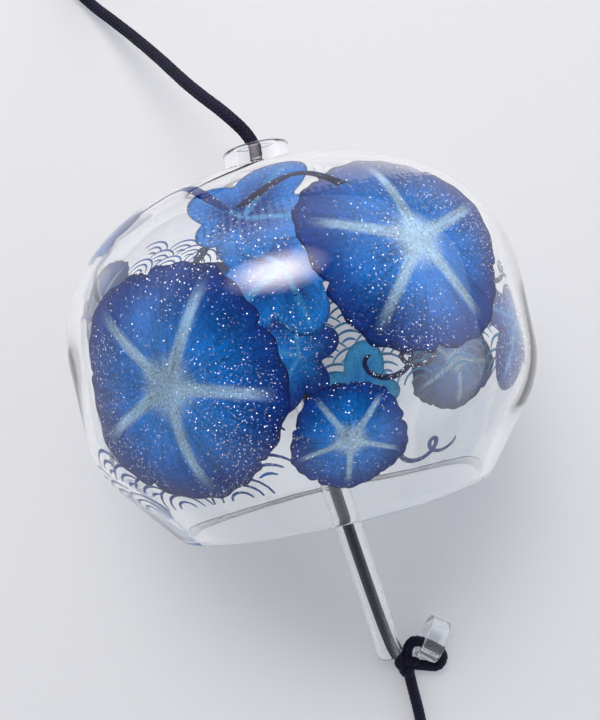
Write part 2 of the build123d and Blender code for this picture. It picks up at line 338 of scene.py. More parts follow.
print("a tree can write:", ", ".join(word for word in vars(Tree) if word[0] != "_"))

# %% [markdown]
# A tree works on a mesh through a modifier. A live modifier would be left behind by an export,
# so the result is read back as a plain mesh and the modifier goes. A modifier's input is set by
# its socket's identifier, because its name is only a label.


# %% The result of a tree
def apply_tree(group, source, material, **values):
    """The tree's result on a mesh, as a plain mesh."""
    holder = bpy.data.objects.new("holder", source)
    bpy.context.scene.collection.objects.link(holder)
    modifier = holder.modifiers.new("tree", "NODES")
    modifier.node_group = group
    for item in group.interface.items_tree:
        if item.item_type == "SOCKET" and item.in_out == "INPUT":
            if item.name in values:
                modifier[item.identifier] = values[item.name]
            elif item.name == "Material":
                modifier[item.identifier] = material
    bpy.context.view_layer.update()
    evaluated = holder.evaluated_get(bpy.context.evaluated_depsgraph_get())
    mesh = bpy.data.meshes.new_from_object(evaluated)
    holder.modifiers.clear()
    bpy.data.objects.remove(holder)
    return mesh


print("a tree's result is read from the evaluated object")

# %% [markdown]
# The bell hangs on a round braid 2.5 mm thick, of sixteen fine carriers of dark navy yarn:
# eight run one way round and eight the other, each over two and under two.
# A plain tube with a bump would look printed. Here one tree lays real carriers along any path,
# so every stretch, loop and knot of the cord is braided in the same way. The wave that lifts a
# carrier over and drops it under runs opposite in the two directions, and a core fills the middle.

# %% The braid
cord_radius = 1.25 * MM
cord_lay = 8.0 * MM
yarn_share, middle_share, lift_share, core_share = 0.235, 0.69, 0.075, 0.66


def braid_tree():
    """Carriers along a path: 'Carriers' each way round, one turn in 'Lay', on a core."""
    sizes = {"Cord Radius": cord_radius, "Lay": cord_lay, "Step": 0.4 * MM, "Carriers": 8}
    tree = Tree("braid", sizes)
    given = tree.given
    yarn, middle, lift, core = (
        tree.math("MULTIPLY", given["Cord Radius"], share)
        for share in (yarn_share, middle_share, lift_share, core_share)
    )
    path = tree.node("GeometryNodeMeshToCurve", {"Mesh": given["Geometry"]})[0]
    even = {"Curve": path, "Length": given["Step"]}
    path = tree.node("GeometryNodeResampleCurve", even, mode="LENGTH")[0]
    length = tree.node("GeometryNodeSplineParameter")["Length"]
    turns = tree.math("DIVIDE", length, given["Lay"])
    normal = tree.node("GeometryNodeInputNormal")[0]
    tangent = tree.node("GeometryNodeInputTangent")[0]
    cross = {0: tangent, 1: normal}
    side = tree.node("ShaderNodeVectorMath", cross, operation="CROSS_PRODUCT")[0]
    rods = []
    for way in (1.0, -1.0):
        many = {"Geometry": path, "Amount": given["Carriers"]}
        copies = tree.node("GeometryNodeDuplicateElements", many, domain="SPLINE")
        number = copies["Duplicate Index"]
        share = tree.math("DIVIDE", number, given["Carriers"])
        share = tree.math("ADD", share, tree.math("MULTIPLY", turns, way))
        angle = tree.math("MULTIPLY", share, 2 * pi)
        wave = tree.math("MULTIPLY", tree.math("MULTIPLY", turns, given["Carriers"]), pi)
        wave = tree.math("ADD", wave, tree.math("MULTIPLY", number, pi * way))
        wave = tree.math("SINE", tree.math("ADD", wave, way * pi / 4))
        radius = tree.math("ADD", middle, tree.math("MULTIPLY", wave, lift))
        out = tree.scaled(normal, tree.math("MULTIPLY", radius, tree.math("COSINE", angle)))
        over = tree.scaled(side, tree.math("MULTIPLY", radius, tree.math("SINE", angle)))
        moved = {"Geometry": copies[0], "Offset": tree.sum(out, over)}
        rods.append(tree.swept(tree.node("GeometryNodeSetPosition", moved)[0], yarn, 6))
    rods.append(tree.swept(path, core, 8))
    together = add(tree, "GeometryNodeJoinGeometry")
    for rod in rods:
        connect(tree, rod, together.inputs[0])
    smooth = tree.node("GeometryNodeSetShadeSmooth", {"Geometry": together.outputs[0]})[0]
    return tree.finish(smooth)


braid = braid_tree()
print("braid tree:", len(braid.nodes), "nodes")

# %% [markdown]
# Grain, fibre, grit and seeds in glass are all noise at different scales. It is read in Object
# coordinates, in metres, so it keeps its size on every piece and moves with it. A bump turns
# the same noise into relief without adding faces.


# %% Patterns
def stretched(material, vector, scale):
    """A vector multiplied along its axes: a pattern on it is drawn out or pressed together."""
    return add(material, "ShaderNodeMapping", {"Vector": vector, "Scale": scale}).outputs[0]


def coordinates(material, scale=(1, 1, 1)):
    """Object coordinates, scaled."""
    return stretched(material, add(material, "ShaderNodeTexCoord").outputs["Object"], scale)


def noise(material, scale, detail=2.0, vector=None):
    """A noise about 0.5, over Object coordinates where no other vector is given."""
    if vector is None:
        vector = coordinates(material)
    inputs = {"Vector": vector, "Scale": scale, "Detail": detail}
    return add(material, "ShaderNodeTexNoise", inputs).outputs["Fac"]


def roughen(material, shader, height, strength, depth):
    """A bump from a height, as deep as said in metres."""
    inputs = {"Height": height, "Strength": strength, "Distance": depth}
    connect(material, add(material, "ShaderNodeBump", inputs).outputs[0], shader.inputs["Normal"])


print("patterns: noise and relief, in metres")

# %% [markdown]
# The yarn is dyed a navy so dark that it reads as black where it bends away. Under a lamp its
# fibres give a dull blue sheen. A velvet or hair shader could do it; the Principled shader's
# sheen is enough at this size, with a soft drift of colour and a fine fibre bump over it.

# %% Navy yarn
yarn_tones = [(0.3, (0.003, 0.0025, 0.012)), (0.75, (0.009, 0.008, 0.036))]
yarn_material, yarn = new_material("navy_yarn")
tone = ramp(yarn_material, noise(yarn_material, 260.0, 3.0), yarn_tones)
connect(yarn_material, tone, yarn.inputs["Base Color"])
finish_of(yarn, {"Roughness": 0.62, "Specular IOR Level": 0.22})
finish_of(yarn, {"Sheen Weight": 0.07, "Sheen Roughness": 0.4, "Sheen Tint": (0.45, 0.5, 0.8, 1)})
roughen(yarn_material, yarn, noise(yarn_material, 2600.0), 0.5, 0.08 * MM)
print("navy yarn:", len(yarn_material.node_tree.nodes), "nodes")

# %% [markdown]
# Each stretch of cord is first a smooth line through the same points as its solid:
# a spline of third order that keeps to its end points. Blender evaluates it, and the points are
# read back from the result, so the braid follows a real curve and not runs between corners.


# %% Routes
def route_points(points, cyclic=False):
    """The smooth line of a route, read back as points."""
    data = bpy.data.curves.new("route", "CURVE")
    data.dimensions = "3D"
    data.resolution_u = 24
    spline = data.splines.new("NURBS")
    spline.points.add(len(points) - 1)
    for control, point in zip(spline.points, points):
        control.co = (*point, 1)
    spline.order_u = 3
    spline.use_endpoint_u = not cyclic
    spline.use_cyclic_u = cyclic
    holder = bpy.data.objects.new("route", data)
    bpy.context.scene.collection.objects.link(holder)
    bpy.context.view_layer.update()
    evaluated = holder.evaluated_get(bpy.context.evaluated_depsgraph_get())
    found = [vertex.co.copy() for vertex in bpy.data.meshes.new_from_object(evaluated).vertices]
    bpy.data.objects.remove(holder)
    return found


def length_of(points):
    return sum((b - a).length for a, b in zip(points, points[1:]))


def braided(points, radius=cord_radius, lay=cord_lay, cyclic=False):
    """A plain mesh of braid along the points."""
    line = bpy.data.meshes.new("line")
    edges = [(i, i + 1) for i in range(len(points) - 1)]
    line.from_pydata(points, edges + ([(len(points) - 1, 0)] if cyclic else []), [])
    return apply_tree(braid, line, yarn_material, **{"Cord Radius": radius, "Lay": lay})


hanging_route = [
    place(0, 0.1, 37.55),
    place(-0.3, 2.4, 37.6),
    place(-3.6, 7.55, 37.01),
    place(-9.2, 15.75, 29.56),
    place(-14.5, 26.05, 18.31),
    place(-20.8, 36.55, 7.97),
    place(-28.5, 47.05, 1.25),
    place(-35.5, 60.05, 1.25),
    place(-33.98, 69.55, 3.19),
]
hanging_line = route_points(hanging_route)
print("hanging cord", round(length_of(hanging_line) / MM, 1), "mm, of", len(hanging_line), "points")

# %% [markdown]
# A finished mesh becomes a piece when it is linked to the scene, rides on a body, and stands
# for the solid that it hides. One helper does this for every piece.
# Outside the neck the cord falls to the table in easy bends. It crosses the hinge at the neck,
# so it isn't cut there; it keeps its place and rides on no body.


# %% Hanging cord
def shown(name, mesh, body, slot, *nodes, bends_into=None):
    """The finished piece: linked, riding on its body unless bends_into is given, and standing for
    its solids.
    bends_into names a second body and two places, which are not used; with it, the piece keeps its
    place in the world and rides on no body."""
    piece = bpy.data.objects.new(name, mesh)
    bpy.context.scene.collection.objects.link(piece)
    if bends_into:
        second, start, end = bends_into
        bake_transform(piece)
        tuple(start)
        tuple(end)
    else:
        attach(piece, body)
    if nodes:
        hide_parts(*nodes)
    print(name, len(mesh.polygons), "faces")
    return piece


neck_hinge = joint_at["hanging_cord_swings_at_neck"]
hanging_cord = shown(
    "hanging_cord_braid",
    braided(hanging_line),
    "line",
    "cord",
    "hanging_cord",
    bends_into=(
        "hanger",
        neck_hinge - Vector((0, 1.5 * MM, 0)),
        neck_hinge + Vector((0, 3 * MM, 0)),
    ),
)

# %% [markdown]
# A knot is a cord that passes over and under itself. Tying one by simulation is slow and
# rarely ends the same way, so the overhand knot's line is written as its known closed formula,
# the trefoil, and braided tight. A loop is nearly a circle, drawn in to a point at its knot.


# %% Knot and loop lines
def knot_line(centre, out, across, size, depth, steps=48):
    """An overhand knot's closed line about a centre, in the plane of out and across."""
    third = out.cross(across)
    points = []
    for step in range(steps):
        t = 2 * pi * step / steps
        x = sin(t) + 2 * sin(2 * t)
        y = cos(t) - 2 * cos(2 * t)
        points.append(centre + out * x * size + across * y * size - third * sin(3 * t) * depth)
    return points


def loop_line(knot, middle, radius, side, turns=9):
    """A loop's closed line: out of the knot, round the middle and back in."""
    heading = (middle - knot).normalized()
    spread = acos(radius / (middle - knot).length)
    points = [knot - heading * radius * 0.05]
    for step in range(turns):
        angle = (pi - spread) * (1 - 2 * step / (turns - 1))
        reach = radius * (1.0 + 0.03 * abs(cos(angle)))
        points.append(middle + heading * cos(angle) * reach + side * sin(angle) * reach)
    return points


loop_reach, loop_size, hanging_knot_size = 20.47 * MM, 7.0 * MM, (0.86 * MM, 1.25 * MM)
hanging_knot = place(-33.5, 72.55, 3.8)
loop_heading = Vector((0.1573, 0.9832, -0.0928)).normalized()
loop_side = Vector((0, 0, 1)).cross(loop_heading).normalized()
loop_middle = hanging_knot + loop_heading * loop_reach
loop_points = route_points(loop_line(hanging_knot, loop_middle, loop_size, loop_side), True)
knot_points = knot_line(hanging_knot, loop_heading, loop_side, *hanging_knot_size)
print("hanging loop", round(length_of(loop_points) / MM, 1), "mm of cord")

# %% [markdown]
# The cord ends in this knotted loop, just beyond the picture; it is what the bell hangs by.
# Knot and loop are two braids in one mesh, because they are one piece to a maker.


# %% Hanging loop
def joined(name, meshes):
    """Several meshes as one, each keeping its materials."""
    target = bmesh.new()
    materials = []
    for mesh in meshes:
        faces = len(target.faces)
        target.from_mesh(mesh)
        target.faces.ensure_lookup_table()
        for face in target.faces[faces:]:
            face.material_index += len(materials)
        materials += list(mesh.materials)
    out = bpy.data.meshes.new(name)
    target.to_mesh(out)
    target.free()
    for material in materials:
        out.materials.append(material)
    return out


knot_cord_radius = 1.2 * MM
loop_and_knot = [
    braided(loop_points, cyclic=True),
    braided(knot_points, knot_cord_radius, cyclic=True),
]
loop_mesh = joined("hanging_loop_braid", loop_and_knot)
hanging_loop = shown("hanging_loop_braid", loop_mesh, "hanger", "cord", "hanging_loop")
length_of(hanging_line)

# %% [markdown]
# Inside, the cord runs from the neck to a knot. From there it goes down through the clapper
# tube to a second knot, and on as the tail to the paper strip. Each stretch is its own piece:
# the first two ride on the line and the clapper, and the tail keeps its place and rides on no
# body. They meet inside the knots, where no end shows.

# %% Cord in the neck, clapper cord and tail
neck_route = [place(0, 0, 37.55), place(-1.14, -11.9, 37.55), place(-3.5, -18.5, 31.054)]
clapper_route = [
    place(-3.35, -20.21, 30.51),
    place(-1.5, -38.0, 24.83),
    place(0.0, -60.0, 17.81),
    place(1.9, -81.0, 11.11),
    place(3.9, -98.5, 5.52),
    place(5.1, -104.0, 3.6),
    place(6.9, -106.36, 2.7),
]
tail_route = [
    place(6.9, -108.0, 2.05),
    place(6.9, -110.35, 1.3),
    place(7.2, -119.15, 1.25),
    place(6.2, -132.75, 1.25),
    place(6.2, -148.3, 2.4),
]
neck_mesh, clapper_mesh = braided(route_points(neck_route)), braided(route_points(clapper_route))
shown("neck_cord_braid", neck_mesh, "line", "cord", "neck_cord")
shown("clapper_cord_braid", clapper_mesh, "clapper", "cord", "inner_cord")
tail_line = route_points(tail_route)
tail_hinge = joint_at["tail_swings_at_lower_knot"]
tail = shown(
    "tail_braid",
    braided(tail_line),
    "clapper",
    "cord",
    "tail_cord",
    bends_into=(
        "tail",
        tail_hinge + Vector((0, 1.5 * MM, 0)),
        tail_hinge - Vector((0, 2.5 * MM, 0)),
    ),
)
print("tail", round(length_of(tail_line) / MM, 1), "mm")

# %% [markdown]
# Each of these two knots ties the cord round the wall of a short ring of clear tube. The upper
# ring lies across under the neck and keeps the bell on the cord; the lower one keeps the tube
# on. The loop is drawn tight, so its line is a rounded oblong about the wall's section, open
# where it goes into the knot.

# %% Knots at the rings
ring_outer, ring_wall, ring_length = 4.5 * MM, 1.5 * MM, 4.3 * MM
loop_opening, loop_squareness = 42, 0.7
loop_radius, tied_radius, tied_lay = cord_radius * 0.94, 1.05 * MM, cord_lay * 0.9
stops = {
    "upper": {
        "ring_at": middle_of("upper_stopper_ring"),
        "ring_axis": Vector((1, 0, 0)),
        "knot_at": joint_at["clapper_swings_at_upper_knot"],
        "body": "line",
        "knot_size": (0.56 * MM, 1.0 * MM),
    },
    "lower": {
        "ring_at": middle_of("lower_stopper_ring"),
        "ring_axis": Vector((cos(radians(-37.6)), sin(radians(-37.6)), 0)),
        "knot_at": clapper_route[-1],
        "body": "clapper",
        "knot_size": (0.66 * MM, 1.1 * MM),
    },
}


def ring_loop(ring_at, ring_axis, knot_at, turns=12):
    """The line of the loop drawn tight round a ring's near wall: from the knot and back to it."""
    towards = knot_at - ring_at
    towards = (towards - ring_axis * towards.dot(ring_axis)).normalized()
    middle = ring_at + towards * (ring_outer - ring_wall / 2)
    half_long = ring_length / 2 + cord_radius + 0.42 * MM
    half_deep = ring_wall / 2 + cord_radius + 0.25 * MM
    out = knot_at - middle
    start = atan2(out.dot(towards) / half_deep, out.dot(ring_axis) / half_long)
    points = [knot_at]
    for turn in range(turns + 1):
        angle = start + radians(loop_opening + (360 - 2 * loop_opening) * turn / turns)
        along = copysign(abs(cos(angle)) ** loop_squareness, cos(angle)) * half_long
        deep = copysign(abs(sin(angle)) ** loop_squareness, sin(angle)) * half_deep
        points.append(middle + ring_axis * along + towards * deep)
    return points


for side, stop in stops.items():
    ring_at, ring_axis, knot_at = stop["ring_at"], stop["ring_axis"], stop["knot_at"]
    out = (ring_at - knot_at).normalized()
    across = out.cross(Vector((0, 0, 1))).normalized()
    tight_line = route_points(ring_loop(ring_at, ring_axis, knot_at), True)
    tied_line = knot_line(knot_at, out, across, *stop["knot_size"])
    tied = [
        braided(tight_line, loop_radius, tied_lay, cyclic=True),
        braided(tied_line, tied_radius, tied_lay, cyclic=True),
    ]
    name = side + "_knot_braid"
    shown(name, joined(name, tied), stop["body"], "cord", side + "_knot")

# %% [markdown]
# The last knot holds the strip at the end of the tail.
# It is the smallest of the knots, because only a card hangs from it.

# %% Strip knot
strip_knot_at = joint_at["strip_swings_on_tail"]
strip_cord_radius, strip_cord_lay, strip_knot_size = 0.95 * MM, 7 * MM, (0.46 * MM, 0.85 * MM)
down_the_tail, across_the_tail = Vector((0, -1, 0)), Vector((1, 0, 0))
strip_line = knot_line(strip_knot_at, down_the_tail, across_the_tail, *strip_knot_size)
strip_braid = braided(strip_line, strip_cord_radius, strip_cord_lay, cyclic=True)
strip_knot = shown("strip_knot_braid", strip_braid, "strip", "cord", "strip_knot")
length_of(tail_line)

# %% [markdown]
# The bell is free-blown soda glass, about 2 mm thick, with a short rolled neck. Its mouth is
# only ground and never polished; that gives the bell its rough sound. The wall could be a
# sphere with a Solidify modifier, but its thickness changes from neck to mouth. So its side is
# drawn twice, for the outer and the inner face, in millimetres from the axis and below the
# neck's top: a quarter of an ellipse from the neck's foot to the band at the widest place, a
# round turn below the band, and a straight run in to the mouth.

# %% Bell profile
neck_bore, neck_outer, foot_radius, foot_depth = 4.0, 5.9, 7.5, 5.9
band_radius, band_start, band_end = 40, 30.5, 43.29
shoulder_width, shoulder_height = 32.5, 26.1
turn_centre, turn_radius, slope = 23.0, 17.0, radians(38)
mouth_depth, mouth_outer, mouth_inner = 64.5, 28.0, 25.462
top_wall, side_wall = 1.5, 2.0


def side_profile(wall_top, wall_side, steps=40):
    """The side from the neck's foot to the mouth, moved in by the walls."""
    width, height = shoulder_width - wall_side, shoulder_height - wall_top
    points = []
    for step in range(steps + 1):
        t = pi / 2 * step / steps
        points.append((foot_radius + width * sin(t), band_start - height * cos(t)))
    for step in range(1, 5):
        points.append((band_radius - wall_side, band_start + (band_end - band_start) * step / 4))
    for step in range(1, 13):
        t = slope * step / 12
        reach = turn_radius - wall_side
        points.append((turn_centre + reach * cos(t), band_end + reach * sin(t)))
    last = points[-1]
    end = (mouth_outer - wall_side / cos(slope), mouth_depth)
    for step in range(1, 9):
        points.append(tuple(a + (b - a) * step / 8 for a, b in zip(last, end)))
    return points


def rounded(before, corner, after, size, steps=4):
    """A small round between two edges of the profile."""
    corner, before, after = Vector(corner), Vector(before), Vector(after)
    start = corner + (before - corner).normalized() * size
    end = corner + (after - corner).normalized() * size
    shares = [step / steps for step in range(steps + 1)]
    return [tuple(start * (1 - t) ** 2 + corner * 2 * t * (1 - t) + end * t * t) for t in shares]


outer_side, inner_side = side_profile(0, 0), side_profile(top_wall, side_wall)
print("side:", len(outer_side), "points from the neck's foot to the mouth")

# %% [markdown]
# The closed profile runs up the bore and over the neck's rolled lip, through a small fillet
# into the shoulder, down the outside, round the ground rim and back up the inside. No edge of
# real glass is sharp, so each corner gets a small round. Where the rim and the inner face start
# in the list is kept, because they get another finish and other waves.

# %% Whole profile
bore_top, lip_top = (neck_bore, 0), (neck_outer, 0)
fillet_radius, fillet_depth = 1.6, 2.8
lip_round, mouth_round, bore_round = 0.8, 0.5, 0.3
inner_foot, bore_middle = 5.6, 3.2
neck_fillet = [
    (foot_radius - fillet_radius * cos(radians(a)), fillet_depth + fillet_radius * sin(radians(a)))
    for a in range(0, 90, 15)
]
rim_outer, rim_inner = (mouth_outer, mouth_depth), (mouth_inner, mouth_depth)
mouth_lip_out = rounded(outer_side[-2], outer_side[-1], rim_inner, mouth_round)
mouth_lip_in = rounded(rim_outer, inner_side[-1], inner_side[-2], mouth_round)
bore_foot = (neck_bore, foot_depth)
profile = rounded(bore_foot, bore_top, lip_top, lip_round)
profile += rounded(bore_top, lip_top, (neck_outer, fillet_depth), lip_round)
profile += neck_fillet + outer_side[:-1] + mouth_lip_out + mouth_lip_in
profile += list(reversed(inner_side[:-1])) + [(inner_foot, foot_depth)]
profile += rounded(inner_side[0], bore_foot, bore_top, bore_round, 2)
profile += [(neck_bore, bore_middle)]
rim_first = profile.index(mouth_lip_out[2])
rim_last = profile.index(mouth_lip_in[2])
inner_first = profile.index(inner_side[-2])
print("bell profile:", len(profile), "points")

# %% [markdown]
# Blown glass is never quite round or even, and that is what bends whatever is seen through it.
# A bump could only fake it on the surface. Here the two faces of the wall carry their own slow
# waves, as sums of sines in the angle and the depth, so they close without a seam. The outer
# face only ever moves inwards, so the bell keeps its size.


# %% Waves of the wall
def wave(angle, depth, inner):
    """How far blowing moved the wall, in millimetres."""
    if inner:
        slow = 0.10 * sin(2 * angle + 0.5 + depth * 0.13)
        return slow + 0.05 * sin(5 * angle + 2.1 - depth * 0.21)
    slow = -0.05 * (1 + sin(3 * angle + 1.0 + depth * 0.11))
    return slow - 0.02 * (1 + sin(7 * angle - depth * 0.3))


def wave_share(depth, calm=8, grown=20):
    """The neck is straight: the waves grow below it."""
    return min(1.0, max(0.0, (depth - calm) / (grown - calm)))


def on_bell(radius, depth, angle):
    """A point of the bell: millimetres from the axis and under the neck's top, and an angle."""
    height = axis_height + radius * sin(angle) * MM
    return Vector((radius * cos(angle) * MM, neck_top - depth * MM, height))


shoulder_wave = wave(0.0, band_start, False)
print("the outer face moved", round(shoulder_wave, 3), "mm at the shoulder")

# %% [markdown]
# The profile turned about the axis makes the wall. A Screw modifier would do that too, but it
# couldn't move each point by its own wave. The section is closed, so the turned wall is as well.
# The ground rim is chipped a little, by two waves that never meet alike.


# %% Turned wall
def turned_faces(around, count):
    """Quads between each turned section and the next, closed both ways."""
    faces = []
    for turn in range(around):
        here, ahead = turn * count, (turn + 1) % around * count
        for index in range(count):
            after = (index + 1) % count
            faces.append((here + index, here + after, ahead + after, ahead + index))
    return faces


def faced_outwards(mesh):
    """The closed mesh, smooth, with all its faces turned outwards."""
    solid = bmesh.new()
    solid.from_mesh(mesh)
    bmesh.ops.recalc_face_normals(solid, faces=solid.faces)
    solid.to_mesh(mesh)
    solid.free()
    for polygon in mesh.polygons:
        polygon.use_smooth = True
    return mesh


def turned_bell(around=176, chip=0.05):
    """The closed wall: every profile point is carried round the axis."""
    verts = []
    for turn in range(around):
        angle = 2 * pi * turn / around
        for index, (radius, depth) in enumerate(profile):
            radius += wave(angle, depth, index >= inner_first) * wave_share(depth)
            if rim_first <= index <= rim_last:
                depth -= chip * (1 + sin(23 * angle + 2 * index) * sin(7.3 * angle + index))
            verts.append(on_bell(radius, depth, angle))
    mesh = bpy.data.meshes.new("blown_glass_bell")
    mesh.from_pydata(verts, [], turned_faces(around, len(profile)))
    for polygon in mesh.polygons:
        polygon.material_index = int(rim_first <= polygon.index % len(profile) < rim_last)
    return faced_outwards(mesh)


bell_mesh = turned_bell()
rim_faces = sum(polygon.material_index for polygon in bell_mesh.polygons)
print("blown wall:", len(bell_mesh.polygons), "faces,", rim_faces, "of them ground")

# %% [markdown]
# Clear glass needs no colour: full transmission and an index of 1.5 do it, with a very soft
# bump for the seeds and cords in blown glass. The rim is the same glass ground with wet sand:
# its roughness follows a fine grit, so it reads as a frosted line. The rim's faces have their
# own material slot, because one roughness over the whole wall would need a mask.

# %% Clear and ground glass
clear = {"Base Color": (1.0, 1.0, 1.0, 1), "Roughness": 0.0, "IOR": 1.5, "Transmission Weight": 1.0}
glass_material, glass = new_material("clear_blown_glass")
finish_of(glass, clear)
roughen(glass_material, glass, noise(glass_material, 55.0, 1.5), 0.12, 0.4 * MM)

ground_material, ground = new_material("ground_glass_rim")
finish_of(ground, {**clear, "Base Color": (0.98, 0.99, 1.0, 1)})
grit = noise(ground_material, 1400.0, 3.0)
frost = ramp(ground_material, grit, [(0.3, 0.5), (0.7, 0.9)])
connect(ground_material, frost, ground.inputs["Roughness"])
roughen(ground_material, ground, grit, 0.6, 0.1 * MM)

bell_mesh.materials.append(glass_material)
bell_mesh.materials.append(ground_material)
shown("blown_glass_bell", bell_mesh, "bell", "bell_glass", "bell_glass")

# %% [markdown]
# The clapper is a length of clear glass tube with fire-polished ends, and the two stops are
# short slices of a wider clear tube. A cylinder with a hole would have sharp ends, which real
# tube never has. So one rounded section is carried round its own axis, and the same helper
# makes all three.


# %% A turned tube
def turned_tube(start, way, length, outer, wall, lip, around=56, along=24):
    """A tube with rounded ends, from a point along a way."""
    way = way.normalized()
    side = way.orthogonal().normalized()
    up = way.cross(side)
    inner = outer - wall
    straight = [(length - 2 * lip) * station / along for station in range(along + 1)]
    opening = [pi / 2 * step / 5 for step in range(1, 5)]
    closing = [pi / 2 * (1 - step / 5) for step in range(5)]
    section = [(outer, lip + reach) for reach in straight]
    section += [(outer - lip * (1 - cos(t)), length - lip + lip * sin(t)) for t in opening]
    section += [(inner + lip * (1 - cos(t)), length - lip + lip * sin(t)) for t in closing]
    section += [(inner, length - lip - reach) for reach in straight]
    section += [(inner + lip * (1 - cos(t)), lip - lip * sin(t)) for t in opening]
    section += [(outer - lip * (1 - cos(t)), lip - lip * sin(t)) for t in closing]
    verts = []
    for turn in range(around):
        angle = 2 * pi * turn / around
        for radius, reach in section:
            verts.append(start + way * reach + (side * cos(angle) + up * sin(angle)) * radius)
    mesh = bpy.data.meshes.new("tube")
    mesh.from_pydata(verts, [], turned_faces(around, len(section)))
    return faced_outwards(mesh)


slide = next(joint for joint in frame["joints"] if joint["name"] == "tube_slides_on_cord")
clapper_way = -Vector(slide["axis"]).normalized()
print("the tube lies", round(degrees(acos(-clapper_way.y)), 1), "degrees off the bell's axis")

# %% [markdown]
# With the bell on its side the cord lies on the bottom of the tube's bore, so the tube's axis
# is a little over the cord's line. Drawn glass is faintly uneven. The rings are sawn from clear
# plastic, so they are a little less clear, a little less bright and a little rougher.

# %% Clapper tube and stopper rings
tube_length, tube_radius, tube_wall, tube_lip = 80 * MM, 2.75 * MM, 0.65 * MM, 0.25 * MM
tube_below_knot, tube_off_cord, ring_lip = 8.5 * MM, 0.55 * MM, 0.3 * MM
tube_material, tube_glass = new_material("clear_tube_glass")
finish_of(tube_glass, clear)
roughen(tube_material, tube_glass, noise(tube_material, 180.0), 0.012, 0.2 * MM)

ring_material, ring_plastic = new_material("clear_ring")
finish_of(ring_plastic, {"Base Color": (0.95, 0.96, 0.98, 1), "Roughness": 0.06})
finish_of(ring_plastic, {"IOR": 1.46, "Transmission Weight": 0.92})
roughen(ring_material, ring_plastic, noise(ring_material, 500.0), 0.15, 0.1 * MM)

swing_axis = Vector((-clapper_way.y, clapper_way.x, 0)).normalized()
tube_lift = clapper_way.cross(swing_axis).normalized() * tube_off_cord
tube_start = stops["upper"]["knot_at"] + clapper_way * tube_below_knot + tube_lift
tube_mesh = turned_tube(tube_start, clapper_way, tube_length, tube_radius, tube_wall, tube_lip)
tube_mesh.materials.append(tube_material)
shown("clapper_glass_tube", tube_mesh, "tube", "tube_glass", "clapper_tube")
for side, stop in stops.items():
    ring_axis = stop["ring_axis"]
    start = stop["ring_at"] - ring_axis * ring_length / 2
    size = (ring_length, ring_outer, ring_wall, ring_lip)
    ring_mesh = turned_tube(start, ring_axis, *size, around=72, along=4)
    ring_mesh.materials.append(ring_material)
    shown(side + "_ring", ring_mesh, stop["body"], "clear_ring", side + "_stopper_ring")

# %% [markdown]
# The bell is painted on the inside, so that the glass keeps the paint from the weather and
# gives it its gloss. A picture on the wall could be an image texture; drawn forms laid on the
# wall as thin films stay sharp at any distance and are real geometry. For that the wall needs
# coordinates: an angle round the axis, and the arc length down from the neck's foot, which
# keeps a form from being stretched where the shoulder curves.

# %% Wall coordinates
wall_table = [(0.0, *inner_side[0])]
for (r0, d0), (r1, d1) in zip(inner_side, inner_side[1:]):
    wall_table.append((wall_table[-1][0] + hypot(r1 - r0, d1 - d0), r1, d1))
wall_length = wall_table[-1][0]


def wall_at(run):
    """Radius, depth and outward slope of the inner wall at an arc length."""
    run = min(max(run, 0.0), wall_length - 0.01)
    for (s0, r0, d0), (s1, r1, d1) in zip(wall_table, wall_table[1:]):
        if run <= s1:
            share, step = (run - s0) / (s1 - s0), s1 - s0
            radius, depth = r0 + (r1 - r0) * share, d0 + (d1 - d0) * share
            return radius, depth, (d1 - d0) / step, -(r1 - r0) / step


def run_at(depth):
    """The arc length at which the inner wall is that deep under the neck's top."""
    for (s0, r0, d0), (s1, r1, d1) in zip(wall_table, wall_table[1:]):
        if depth <= d1:
            return s0 + (s1 - s0) * (depth - d0) / max(d1 - d0, 1e-9)
    return wall_length


def on_wall(angle, run, lift):
    """A point on the inner wall, lifted into the glass by millimetres."""
    radius, depth, out, up = wall_at(run)
    radius += wave(angle, depth, True) * wave_share(depth) + lift * out
    return on_bell(radius, depth - lift * up, angle)


print("inner wall", round(wall_length, 1), "mm from neck to mouth")

# %% [markdown]
# Five dyes do for the whole design, from navy to a pale star. On the inside of glass, what is
# painted first is seen in front from outside. So the flowers are the outermost layer, then
# come the waves, the leaves and the stalks, each 0.03 mm further in. Two faces in one place
# would flicker against each other; these distances keep them apart.

# %% Dyes and layers
navy, royal, azure, pale, star = (
    (0.004, 0.012, 0.085),
    (0.002, 0.050, 0.33),
    (0.002, 0.245, 0.78),
    (0.08, 0.50, 0.86),
    (0.50, 0.76, 0.93),
)
flower_layer, scale_layer, leaf_layer, stem_layer = 0, 1, 2, 3
first_lift, layer_lift, film_lift, film_thickness = 0.05, 0.03, 0.0015, 0.015
narrowest = 6.0
print("film", film_thickness, "mm thick, in", stem_layer + 1, "layers")

# %% [markdown]
# Each form is a grid of points drawn flat, in millimetres, and each point has its dye and its
# cover. Laid on the wall, the grid becomes a closed film with a front, a back and an edge all
# round. A single sheet would do for a picture, but a closed film has an inside and an outside,
# as real paint has, and every film lies a hair apart from the one before.

# %% Laying a film
film_verts, film_faces, film_dye, film_brush = [], [], [], []


